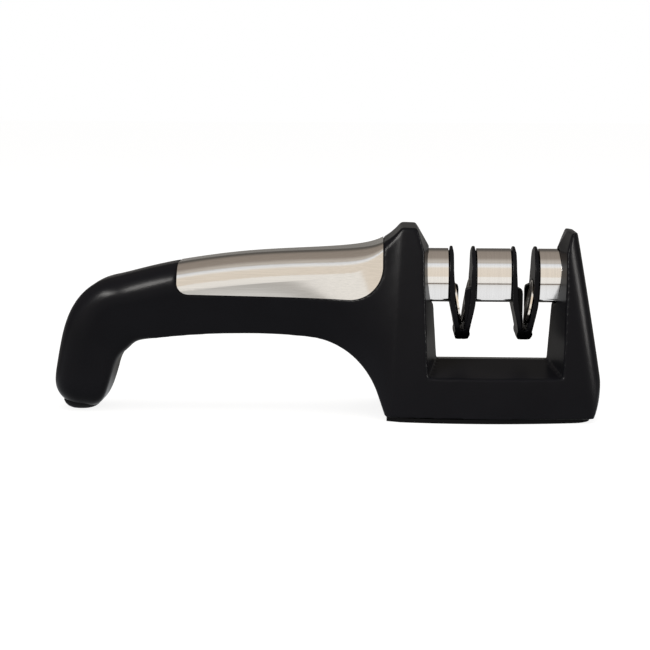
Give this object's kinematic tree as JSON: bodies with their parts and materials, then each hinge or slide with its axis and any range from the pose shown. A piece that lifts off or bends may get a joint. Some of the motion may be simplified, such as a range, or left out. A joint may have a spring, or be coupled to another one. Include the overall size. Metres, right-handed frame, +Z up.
{
  "type": "pull through knife sharpener",
  "caption": "Handheld pull-through knife sharpener: curved black handle with inlaid steel plate, U-shaped head, steel-sleeved bar with V guides holding crossed sharpening wheels.",
  "frame": {"origin": "on the table, under the centre of the bounding box", "axes": "+X from the handle's leg to the head, +Y away from the viewer of the picture, +Z up"},
  "size_m": [0.21, 0.0564, 0.0725],
  "materials": {
    "shell": "satin black moulded plastic",
    "cover_plastic": "fine textured black plastic",
    "guide_plastic": "semi-gloss black",
    "steel_plate": "fine brushed, near polished",
    "steel_sleeve": "polished with fine turning lines",
    "wheel_steel": "ground, with polished rim",
    "fastener_steel": "zinc plated",
    "rubber": "matt black rubber"
  },
  "bodies": {
    "frame": {"body_shell": "shell", "top_plate": "steel_plate", "under_cover": "cover_plastic", "cover_screws": "fastener_steel", "base_plate": "cover_plastic", "base_screw": "fastener_steel", "base_sole": "rubber", "leg_pad": "rubber", "bar_screw": "fastener_steel", "carrier_left": "guide_plastic", "carrier_middle": "guide_plastic", "carrier_right": "guide_plastic", "sleeve_left": "steel_sleeve", "sleeve_middle": "steel_sleeve", "sleeve_right": "steel_sleeve", "coarse_front_axle": "fastener_steel", "coarse_rear_axle": "fastener_steel", "fine_front_axle": "fastener_steel", "fine_rear_axle": "fastener_steel"},
    "coarse_front_wheel": {"coarse_front_wheel": "wheel_steel"},
    "coarse_rear_wheel": {"coarse_rear_wheel": "wheel_steel"},
    "fine_front_wheel": {"fine_front_wheel": "wheel_steel"},
    "fine_rear_wheel": {"fine_rear_wheel": "wheel_steel"}
  },
  "joints": [
    {"name": "coarse_front_spin", "type": "hinge", "parent": "frame", "child": "coarse_front_wheel", "pos_m": [0.05165, -0.0031, 0.04302], "axis": [-0.9848, 0, -0.1736], "continuous": true},
    {"name": "coarse_rear_spin", "type": "hinge", "parent": "frame", "child": "coarse_rear_wheel", "pos_m": [0.05455, 0.0031, 0.04302], "axis": [0.9848, 0, -0.1736], "continuous": true},
    {"name": "fine_front_spin", "type": "hinge", "parent": "frame", "child": "fine_front_wheel", "pos_m": [0.07845, -0.0031, 0.04302], "axis": [0.9848, 0, -0.1736], "continuous": true},
    {"name": "fine_rear_spin", "type": "hinge", "parent": "frame", "child": "fine_rear_wheel", "pos_m": [0.07555, 0.0031, 0.04302], "axis": [-0.9848, 0, -0.1736], "continuous": true}
  ]
}
